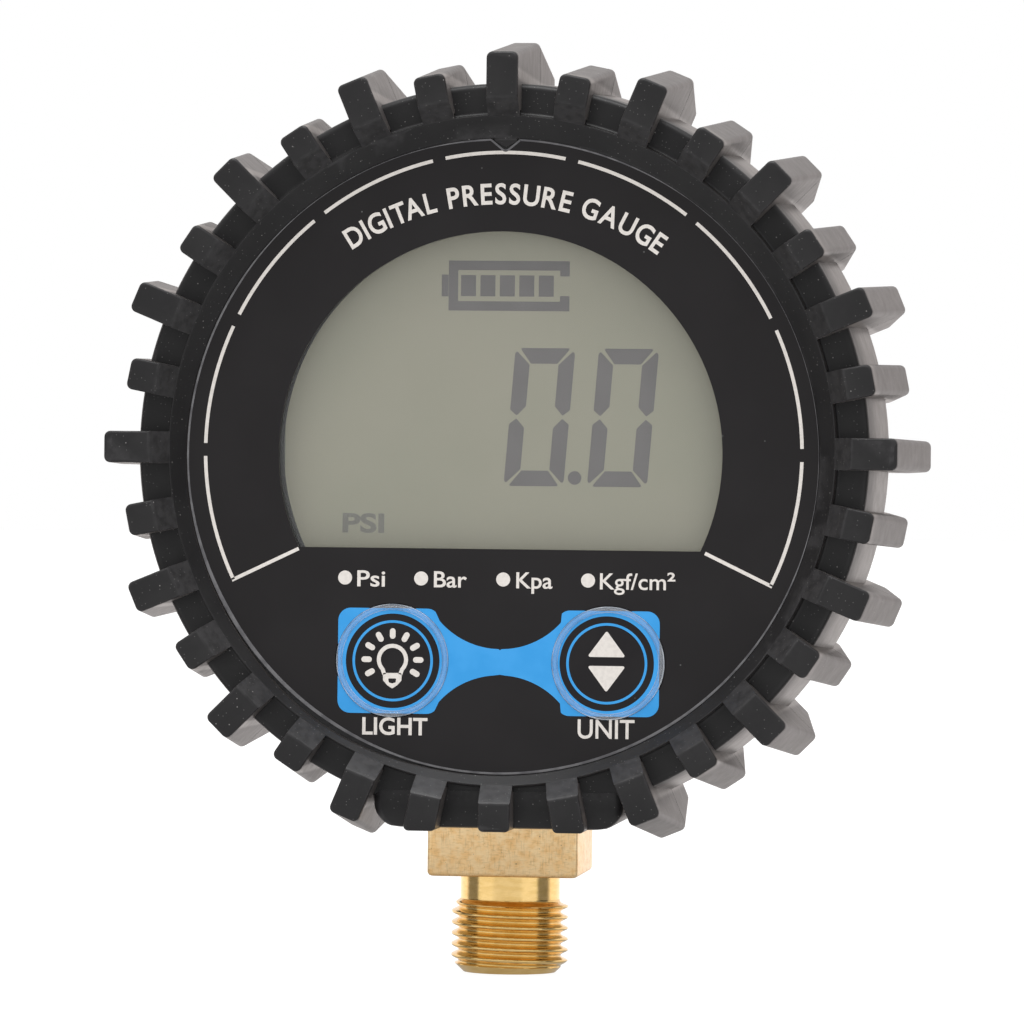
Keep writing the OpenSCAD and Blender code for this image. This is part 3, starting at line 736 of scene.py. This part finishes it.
def add_title(shape, word, start, end):
    """A word on the title's arc, from one angle to another"""
    letters = []
    weight, gap = 0.02, 0.12
    pen = 0
    for letter in word:
        points, faces = text_mesh(letter, weight)
        low, high = span(points)
        if word[:len(letters) + 1].endswith("TA"):
            pen -= 0.17  # the A tucks under the T
        letters.append((points, faces, low, high, pen))
        pen += (high - low) + gap
    total = pen - gap
    tall = TITLE_CAP / (CAP + 2 * weight)
    sweep = radians(end - start)
    wide = sweep * (TITLE_R + TITLE_CAP / 2) / total
    origin = Vector(TITLE_PLACE)
    for points, faces, low, high, at in letters:
        middle = (low + high) / 2
        angle = radians(start) + sweep * (at + (high - low) / 2) / total
        out, side = spoke(angle)
        place = [tuple(origin + out * (TITLE_R + (y + weight) * tall) + side * (x - middle) * wide)
                 for x, y in points]
        shape.thicken(place, faces, FILM - INK, FILM)


def make_dial_print():
    shape = Shape()
    for index in range(9):
        start = (index - 4.5) * ARC_STEP
        first = start + (ARC_GAP / 2 if index > 0 else 0)
        last = start + ARC_STEP - (ARC_GAP / 2 if index < 8 else 0)
        shape.ink(band(ARC_R - ARC_W / 2, ARC_R + ARC_W / 2, first, last), FILM)
    for side in (-1, 1):
        angle = radians(90 - side * 4.5 * ARC_STEP)
        origin = Vector(PRINT_PLACE)
        along = Vector((cos(angle), sin(angle)))
        across = Vector((-along.y, along.x)) * ARC_W / 2
        near, far = origin + along * RETURN_R, origin + along * (ARC_R + ARC_W / 2)
        corners = (near - across, far - across, far + across, near + across)
        shape.ink([tuple(p) for p in corners], FILM)
    add_title(shape, "DIGITAL", -34.15, -14.05)
    add_title(shape, "PRESSURE", -11.45, 14.45)
    add_title(shape, "GAUGE", 16.85, 35.45)
    for dot, *_ in UNITS.values():
        shape.ink(circle((dot, UNIT_BASE + 0.71), 0.577, 32), FILM)
    for word, (_, left, width, weight) in UNITS.items():
        add_word(shape, word, left, UNIT_BASE, UNIT_CAP, width, weight)
    add_word(shape, "2", 13.7, UNIT_BASE + 0.72, 0.72, 0.66, 0.03)
    add_word(shape, "LIGHT", -11.32, -23.42, 1.43, 5.4, 0.02)
    add_word(shape, "UNIT", 6.47, -23.47, 1.57, 4.67, 0.012)
    shape.build("dial_print_white", white_ink, "gauge")


make_dial_print()


# ---- buttons ----
PRINT_DROP = -17.33
# the blue squares and the rings on them are not quite centred on the buttons
SQUARE_X = {-1: -9.08, 1: 8.8}
RINGS_X = {-1: -8.86, 1: 8.8}
SQUARE_HALF = 4.32
SQUARE_R = 1.03
NECK_HALF = 1.07
NECK_R = 6.7
RING_OUT = 3.88
THIN_OUT = 3.33
THIN_IN = 3.12
RIDGE_IN = 4.2
STEM_R = 1.9
HOLE_R = BUTTON_R + 0.07
WINDOW_R = 18.3
WINDOW_PLACE = (-0.2, -0.3)
WINDOW_CUT = degrees(asin(7.76 / WINDOW_R))


def blue_outline(side):
    """Half of the blue field: a rounded square with half of the neck, about its own centre"""
    reach = abs(SQUARE_X[side])
    neck = []
    for k in range(17):
        x = -5.0 + 5.0 * k / 16
        neck.append((x + reach, NECK_HALF + NECK_R - sqrt(NECK_R ** 2 - x * x)))
    top = arc((-SQUARE_HALF + SQUARE_R, SQUARE_HALF - SQUARE_R), SQUARE_R, 180, 90, 8)
    shoulder = arc((SQUARE_HALF - SQUARE_R - 0.25, SQUARE_HALF - SQUARE_R), SQUARE_R, 90, 48, 5)
    upper = top + shoulder + neck
    return [(x * -side, z) for x, z in upper + [(x, -z) for x, z in upper[::-1]]]


def reach_of(outline, angle):
    """How far a ray from the centre goes before it leaves the outline"""
    d = Vector((cos(angle), sin(angle)))
    best = 0
    for a, b in zip(outline, outline[1:] + outline[:1]):
        a, b = Vector(a), Vector(b)
        edge = b - a
        cross = d.x * edge.y - d.y * edge.x
        if abs(cross) < 1e-9:
            continue
        t = (a.x * edge.y - a.y * edge.x) / cross
        s = (a.x * d.y - a.y * d.x) / cross
        if t > 0 and -1e-6 <= s <= 1 + 1e-6:
            best = max(best, t)
    return best


def add_ring_print(shape, centre, inner, outer, steps=240):
    """A flat ring on the film between radii that depend on the angle; nothing where they meet"""
    runs = [[]]
    for k in range(steps + 1):
        angle = 2 * pi * k / steps
        near, far = inner(angle), outer(angle)
        if far - near > 0.02:
            runs[-1].append((angle, near, far))
        else:
            runs.append([])
    for run in runs:
        if len(run) < 2:
            continue
        whole = len(run) == steps + 1
        rings = []
        for angle, near, far in (run[:-1] if whole else run):
            c, s = cos(angle), sin(angle)
            section = [(near, FILM - INK), (far, FILM - INK), (far, FILM), (near, FILM)]
            rings.append([(centre[0] + r * c, y, DIAL_Z + centre[1] + r * s) for r, y in section])
        shape.loft(rings, wrap=whole)


def stroke(points, width):
    """Outline of an open line of constant width through points"""
    left, right = [], []
    for before, p, after in zip(points[:1] + points, points, points[1:] + points[-1:]):
        along = (Vector(after) - Vector(before)).normalized()
        across = Vector((-along.y, along.x)) * width / 2
        left.append(tuple(Vector(p) + across))
        right.append(tuple(Vector(p) - across))
    return left + right[::-1]


def capsule(centre, length, width, angle):
    """A short bar with round ends"""
    half = (length - width) / 2
    points = arc((0, half), width / 2, 0, 180, 8) + arc((0, -half), width / 2, 180, 360, 8)
    c, s = cos(angle), sin(angle)
    return [(centre[0] + x * c - z * s, centre[1] + x * s + z * c) for x, z in points]


def bulb_icon(shape, centre):
    """Bulb outline, base and nine rays"""
    x, z = centre
    glass = arc(centre, 1.13, -44, 224, 30)
    shape.ink(stroke([(x + 0.66, z - 1.22), *glass, (x - 0.66, z - 1.22)], 0.33), FILM)
    cup = [(x - 0.78, z - 1.1), (x + 0.78, z - 1.1), (x + 0.76, z - 1.72), (x + 0.42, z - 2.1),
           (x, z - 2.38), (x - 0.42, z - 2.1), (x - 0.76, z - 1.72)]
    hole = [(x - 0.34, z - 1.55), (x + 0.34, z - 1.55), (x + 0.28, z - 1.88), (x, z - 1.96),
            (x - 0.28, z - 1.88)]
    shape.ink(rounded(cup, 0.12, 3), FILM, [rounded(hole, 0.06, 2)])
    for k in range(-4, 5):
        a = radians(30 * k)
        place = (x + 2.14 * sin(a), z + 2.14 * cos(a))
        shape.ink(capsule(place, 0.87, 0.47, -a), FILM)


def arrow_icon(shape, centre):
    """Two triangles, one up and one down"""
    x, z = centre
    for sign in (1, -1):
        base = z + sign * 0.365
        points = [(x - 1.59, base), (x + 1.59, base), (x, z + sign * 2.52)]
        shape.ink(rounded(points, 0.12, 4), FILM)


def add_ridge(centre, name, look, body, low, high, top):
    """A clear ring with a rounded top, on a button"""
    ridge = Shape()
    section = [(low, FILM - INK)]
    for t in [k / 12 for k in range(1, 12)]:
        swell = sin(pi * t) ** 0.8
        section.append((low + (high - low) * t, FILM - INK - (top - INK) * swell))
    section += [(high, FILM - INK), (high, FILM - 0.001), (low, FILM - 0.001)]
    ridge.turn(section, centre, 128)
    ridge.build(name, look, body)


def make_button(side, body, node, name):
    centre = (side * BUTTON_X, BUTTON_Z)
    dx, dz = RINGS_X[side] - centre[0], PRINT_DROP - centre[1]
    shift = SQUARE_X[side] - centre[0]
    shifted = [(shift + x, dz + z) for x, z in blue_outline(side)]

    cap = Shape()
    cap_back = FILM + 0.6
    profile = [(0.001, FILM), (BUTTON_R, FILM), (BUTTON_R, cap_back), (STEM_R, cap_back),
               (STEM_R, STEM_END), (0.001, STEM_END)]
    cap.turn(rounded(profile, [0, 0.06, 0.1, 0.15, 0.1, 0], 4), centre, 128)
    cap.build(name + "_cap", black_ink, body, [node])

    blue = Shape()

    def from_cap(radius):
        """Distance from the cap's centre to a circle about the print's centre"""
        def distance(angle):
            along = dx * cos(angle) + dz * sin(angle)
            return along + sqrt(along ** 2 - dx * dx - dz * dz + radius ** 2)
        return distance

    def to_edge(angle):
        return min(BUTTON_R - 0.015, reach_of(shifted, angle))

    add_ring_print(blue, centre, from_cap(RING_OUT), to_edge)
    add_ring_print(blue, centre, from_cap(THIN_IN), from_cap(THIN_OUT))
    blue.build(name + "_blue_print", blue_ink, body)

    white = Shape()
    if side < 0:
        bulb_icon(white, (RINGS_X[side] - 0.02, PRINT_DROP + 0.1))
    else:
        arrow_icon(white, (RINGS_X[side] - 0.02, PRINT_DROP + 0.18))
    white.build(name + "_symbol", white_ink, body)

    # the clear ring, and its two rims painted pale as highlights
    for part, look, low, high, top in (
        ("_raised_ring", ridge_look, RIDGE_IN, BUTTON_R - 0.1, 0.2),
        ("_ring_outer_rim_highlight", rim_highlight_look, BUTTON_R - 0.11, BUTTON_R, 0.1),
        ("_ring_inner_rim_highlight", rim_highlight_look, RIDGE_IN - 0.07, RIDGE_IN + 0.01, 0.1),
    ):
        add_ridge(centre, name + part, look, body, low, high, top)
    return centre, shifted


def make_blue_field(buttons):
    """The part of the blue print that lies on the film, round the two caps and between them"""
    shape = Shape()
    for centre, outline in buttons:
        add_ring_print(shape, centre, lambda a: BUTTON_R + 0.012,
                       lambda a, o=outline: reach_of(o, a), 480)
    shape.build("dial_print_blue", blue_ink, "gauge")


make_blue_field([
    make_button(-1, "light_key", "light_button", "light"),
    make_button(1, "unit_key", "unit_button", "unit"),
])

# ---- display ----
DIGIT_W = 4.95
DIGIT_H = 11.36
SEGMENT = 1.28
SLANT = 0.0777


def zero_segments():
    """The six lit segments of a slanted nought, from its lower left corner"""
    w, h, t = DIGIT_W, DIGIT_H, SEGMENT
    top = [(0.38, h), (w - 0.38, h), (w - t - 0.1, h - t), (t + 0.1, h - t)]
    side = [(0.14, h - 0.24), (t, h - t - 0.1), (t, h / 2 + 0.9), (t * 0.45, h / 2 + 0.12),
            (0, h / 2 + 0.6), (0, h - 0.5)]
    low_side = [(x, h - z) for x, z in side]
    ends = [top, [(x, h - z) for x, z in top]]
    return ends + [side, low_side] + [[(w - x, z) for x, z in part] for part in (side, low_side)]


def make_display():
    lit = Shape()
    for middle in (2.8, 9.7):
        for outline in zero_segments():
            placed = [
                (middle + x - DIGIT_W / 2 + SLANT * (z - DIGIT_H / 2), 2.83 + z - DIGIT_H / 2)
                for x, z in rounded(outline, 0.1, 3)
            ]
            lit.ink(placed, GLASS)
    lit.ink(circle((5.76, -2.14), 0.56, 32), GLASS)
    # battery symbol: a frame open to the right, with a nub and five bars
    line, left, right, low, high = 0.78, -4.84, 5.17, 11.55, 15.67
    middle = (low + high) / 2
    inner = right - line
    lit.ink([(inner, high - 1.25), (right, high - 1.25), (right, high), (left, high), (left, low),
             (right, low), (right, low + 1.25), (inner, low + 1.25), (inner, low + line),
             (left + line, low + line), (left + line, high - line), (inner, high - line)], GLASS)
    lit.ink(box_outline((left - 0.58, middle - 0.9), (left - 0.02, middle + 0.9)), GLASS)
    for x in [-3.82 + 1.61 * k for k in range(5)]:
        lit.ink(box_outline((x, middle - 0.87), (x + 1.24, middle + 0.87)), GLASS)
    lit.build("display_segments", segment_look, "gauge")
    word = Shape()
    add_word(word, "PSI", -13.45, -6.84, 1.6, 3.47, 0.03, front=GLASS)
    word.build("display_unit_word", word_look, "gauge")


make_display()


# ---- film ----
# width of the pale band painted along the film's cut edge as a highlight, clockwise from the top
EDGE_HIGHLIGHT_WIDTHS = [(0, 0.16), (22, 0.12), (36, 0.03), (100, 0.03), (116, 0.12), (150, 0.22),
               (170, 0.2), (195, 0.15), (212, 0.26), (240, 0.33), (262, 0.16), (300, 0.16),
               (318, 0.05), (345, 0.05), (353, 0.13), (360, 0.16)]


def edge_highlight_width(angle):
    for (a, wide_a), (b, wide_b) in zip(EDGE_HIGHLIGHT_WIDTHS, EDGE_HIGHLIGHT_WIDTHS[1:]):
        if angle <= b:
            return wide_a + (wide_b - wide_a) * (angle - a) / (b - a)


def make_film():
    """The printed film with its keying notch and openings, and a pale band painted along its cut
    edge as a highlight
    """
    radius = LIP_R - 0.06
    points = arc(FILM_PLACE, radius, 87, -267, 199)
    radii = [0] * len(points) + [0.25, 0.3, 0.25]
    shoulder = points[0][1] + 0.02
    outline = rounded(points + [(-1.2, shoulder), (0, 24.6), (1.2, shoulder)], radii, 5)
    window = arc(WINDOW_PLACE, WINDOW_R, -WINDOW_CUT, 180 + WINDOW_CUT, 96)
    holes = [circle((side * BUTTON_X, BUTTON_Z), HOLE_R, 96) for side in (-1, 1)]
    film = Shape()
    film.flat(outline, FILM, FILM + 0.3, [window, *holes])
    film.build("dial_film", film_look, "gauge", ["face_overlay"])
    widths = [edge_highlight_width(degrees(atan2(x, z)) % 360) for x, z in outline]
    rings = [
        [(ix, FILM - INK, DIAL_Z + iz), (ox, FILM - INK, DIAL_Z + oz),
         (ox, FILM + 0.1, DIAL_Z + oz), (ix, FILM, DIAL_Z + iz)]
        for (ox, oz), (ix, iz) in zip(outline, inset(outline, widths))
    ]
    edge = Shape()
    edge.loft(rings, wrap=True)
    edge.build("film_edge_highlight", film_edge_highlight_look, "gauge")


make_film()

# ---- brass fitting ----
PITCH = 0.907
CREST_R = 9.728 / 2
ROOT_R = CREST_R - 0.581
NECK_BRASS_R = 4.15
NECK_TOP = 2.25
COLLAR_Z = DIAL_Z - 25.5
COLLAR_TOP = COLLAR_Z + 2
END_Z = brass_low.z
PORT_R = 1.6


def thread_radius(angle, z):
    """Radius of the helical thread's surface at an angle and a height"""
    phase = (z / PITCH + angle / (2 * pi)) % 1.0
    rise = 1 - abs(phase - 0.5) * 2
    part = min(1, max(0, (rise - 0.12) / 0.74))
    part = 0.5 * part + 0.5 * part * part * (3 - 2 * part)
    fade = min(1, max(0, (0.15 - z) / 0.5))  # the thread runs out into the neck
    radius = NECK_BRASS_R + (ROOT_R - NECK_BRASS_R) * fade + (CREST_R - ROOT_R) * part * fade
    chamfer = ROOT_R - 0.43 + (z - END_Z) * 1.05
    return min(radius, chamfer)


def make_fitting():
    turned = Shape()
    per_pitch = 20
    heights = [NECK_TOP + 0.3, 1.3, 0.4]
    rows = int((0.3 - END_Z) / PITCH * per_pitch)
    heights += [0.3 + (END_Z - 0.3) * i / rows for i in range(rows + 1)]
    rings = []
    for a in turns_of(160):
        column = [(thread_radius(a, z) if z < 0.35 else NECK_BRASS_R, z) for z in heights]
        column += [(PORT_R + 0.25, END_Z), (PORT_R, END_Z + 0.25), (PORT_R, NECK_TOP + 0.3)]
        rings.append([(r * cos(a), r * sin(a), z) for r, z in column])
    turned.loft(rings, wrap=True)
    turned.build("thread_and_neck", turned_brass, "gauge", sharp=60)

    block = Shape()
    rings = []
    for z, pull in [(NECK_TOP, 0.3), (NECK_TOP + 0.08, 0.12), (NECK_TOP + 0.3, 0), (COLLAR_Z, 0)]:
        half = SHANK_HALF - pull
        rings.append([(x, y, z) for x, y in box_outline((-half, -half), (half, half), 0.35, 4)])
    block.loft(rings)
    collar = box_outline((-8, -SHANK_HALF), (8, SHANK_HALF), 0.2, 3)
    block.loft([[(x, y, z) for x, y in collar] for z in (COLLAR_Z, COLLAR_TOP)])
    # the spigot inside the case, with a groove for the sensor's seal in its end
    top, groove, root = brass_high.z, brass_high.z - 0.88, COLLAR_TOP - 0.1
    spigot = [(4.3, root), (4.3, top - 0.2), (4.1, top), (3.8, top), (3.8, groove), (2.75, groove),
              (2.75, top), (PORT_R, top), (PORT_R, root)]
    block.loft([[(r * cos(a), r * sin(a), z) for r, z in spigot]
                for a in turns_of(96)], wrap=True)
    block.build("square_shank", shank_brass, "gauge", ["brass_fitting"], sharp=50)


make_fitting()

# ---- battery door ----
DOOR_BACK = door_high.y
PLATE_FRONT = 13.78
PLATE_LOW = -11.55
TAB_TOP = -10.8
GRIP_RIBS = 5
RIB_STEP = 1.7


def make_door():
    shape = Shape()
    top, half = door_high.z - DIAL_Z, door_high.x
    shape.slab(box_outline((-half, PLATE_LOW), (half, top), 0.6), PLATE_FRONT, DOOR_BACK, 0.18)
    # two hinge tabs: a root on the plate, and a hook that reaches under the case
    for x in (-12.5, 12.5):
        left, right = x - 2.5, x + 2.5
        root = box_outline((left, PLATE_LOW + 0.1), (right, TAB_TOP), 0.15)
        shape.slab(root, 13, PLATE_FRONT + 0.2)
        shape.slab(box_outline((left, -13.05), (right, TAB_TOP), 0.2), 12.6, 13.7, 0.12)
    # grip ribs under the finger notch, and an arrow that points to where the door opens
    for k in range(GRIP_RIBS):
        rib = capsule((0, top - 2.4 - RIB_STEP * k), 13 - 1.1 * k, 0.9, pi / 2)
        shape.slab(rib, DOOR_BACK - 0.1, DOOR_BACK + 0.3, 0.12)
    tip = top - 2.9 - RIB_STEP * GRIP_RIBS
    arrow = rounded([(-1.7, tip - 2.4), (1.7, tip - 2.4), (0, tip)], 0.15, 3)
    shape.slab(arrow, DOOR_BACK - 0.1, DOOR_BACK + 0.2, 0.08)
    shape.build("door_plate", case_plastic, "door", ["battery_door"])


make_door()


# ---- stage: floor, light and camera ----
# light from each direction, by the direction's depth part: dial side first, then the back
HORIZON = [(-1.0, 0.7), (-0.88, 0.7), (-0.8, 0.88), (-0.36, 0.88), (-0.26, 0.05), (0.2, 0.05),
           (0.4, 1.1)]
WARM = (1, 0.93, 0.905)
TOP_LIGHT = (1.08, 1.08, 1.08)
FLOOR_NEAR = (0.4, 0.4, 0.4)
SEEN_FLOOR = (0.93, 0.93, 0.93)
SEEN_WORLD = (1.0, 1.0, 1.0)
FLOOR_REACH = 9000


def horizon_light(tree, depth):
    """Colour of the light near the horizon, from the depth part of its direction"""
    ramp = tree.nodes.new("ShaderNodeValToRGB")
    stops = ramp.color_ramp.elements
    while len(stops) < len(HORIZON):
        stops.new(0.5)
    for stop, (at, level) in zip(stops, HORIZON):
        stop.position = (at + 1) / 2
        tone = WARM if at > 0 and level > 1 else (1, 1, 1)
        stop.color = (*(level * t for t in tone), 1)
    tree.links.new(tree.map(depth, -1, 1), ramp.inputs["Fac"])
    return ramp.outputs["Color"]


def for_camera(tree, lit, seen):
    """One plain colour for the camera, and the light itself for everything else"""
    path = tree.nodes.new("ShaderNodeLightPath")
    return tree.mix(path.outputs["Is Camera Ray"], lit, seen)


def make_stage():
    """Floor that carries the studio's light on below the horizon, and looks white itself"""
    floor = Shape()
    level = brass_low.z - 0.05 - DIAL_Z
    floor.slab([(-FLOOR_REACH, level - 20), (FLOOR_REACH, level - 20), (FLOOR_REACH, level),
                (-FLOOR_REACH, level)], -FLOOR_REACH, FLOOR_REACH)
    pale = Look("floor_look", (0.12, 0.12, 0.12), 0.7)
    pale.mottle(0.01, (0.13, 0.13, 0.13))
    where = pale.split(pale.place)
    away = pale.length(where["X"], where["Y"])
    depth = pale.math("DIVIDE", where["Y"], pale.math("ADD", away, 1.0))
    near = pale.map(away, 10, 55, kind="SMOOTHSTEP")
    lit = pale.mix(near, FLOOR_NEAR, horizon_light(pale, depth))
    pale.links.new(for_camera(pale, lit, SEEN_FLOOR), pale.inputs["Emission Color"])
    pale.inputs["Emission Strength"].default_value = 1.0
    mesh = floor.plain_mesh("floor")
    mesh.materials.append(pale.material)
    thing = bpy.data.objects.new("floor", mesh)
    link(thing)


def make_world():
    """Soft light from above, from the front and from behind, and plain white to the camera"""
    world = bpy.data.worlds.new("studio")
    bpy.context.scene.world = world
    sky = Tree(world)
    place = sky.split(sky.nodes.new("ShaderNodeTexCoord").outputs["Generated"])
    above = sky.map(place["Z"], 0.25, 0.65, kind="SMOOTHSTEP")
    lit = sky.mix(above, horizon_light(sky, place["Y"]), TOP_LIGHT)
    background = sky.nodes["Background"].inputs
    sky.links.new(for_camera(sky, lit, SEEN_WORLD), background["Color"])
    background["Strength"].default_value = 1.0


def add_top_light():
    """A soft box above and in front, in the brightest part of the studio"""
    data = bpy.data.lights.new("top_box", "AREA")
    data.shape = "RECTANGLE"
    data.size, data.size_y = 0.5, 0.3
    data.energy = 3.9
    lamp = bpy.data.objects.new("top_box", data)
    lamp.location = (0, -0.2, 0.8)
    aim = Vector((0, 0, DIAL_Z * MM)) - lamp.location
    lamp.rotation_euler = aim.to_track_quat("-Z", "Y").to_euler()
    lamp.visible_camera = False
    link(lamp)


def make_camera():
    """Camera half a metre off, turned to the right of the dial and rolled a little"""
    yaw, roll = radians(6.4), radians(0.65)
    distance, drop, aside = 500.0, 5.0, 1.225
    toward = Vector((sin(yaw), -cos(yaw), 0))
    right = Vector((cos(yaw), sin(yaw), 0))
    up = Vector((0, 0, 1))
    place = Vector((0, FRONT, DIAL_Z)) + toward * distance + right * aside - up * drop
    turned_right = right * cos(roll) + up * sin(roll)
    turned_up = up * cos(roll) - right * sin(roll)
    data = bpy.data.cameras.new("camera")
    data.sensor_width = 36
    data.lens = 215.85
    data.clip_start = 0.01
    data.clip_end = 50
    camera = bpy.data.objects.new("camera", data)
    basis = Matrix((turned_right, turned_up, toward)).transposed()
    camera.matrix_world = Matrix.Translation(place * MM) @ basis.to_4x4()
    link(camera)
    bpy.context.scene.camera = camera


make_stage()
make_world()
add_top_light()
make_camera()
bpy.context.scene.view_settings.view_transform = "Standard"
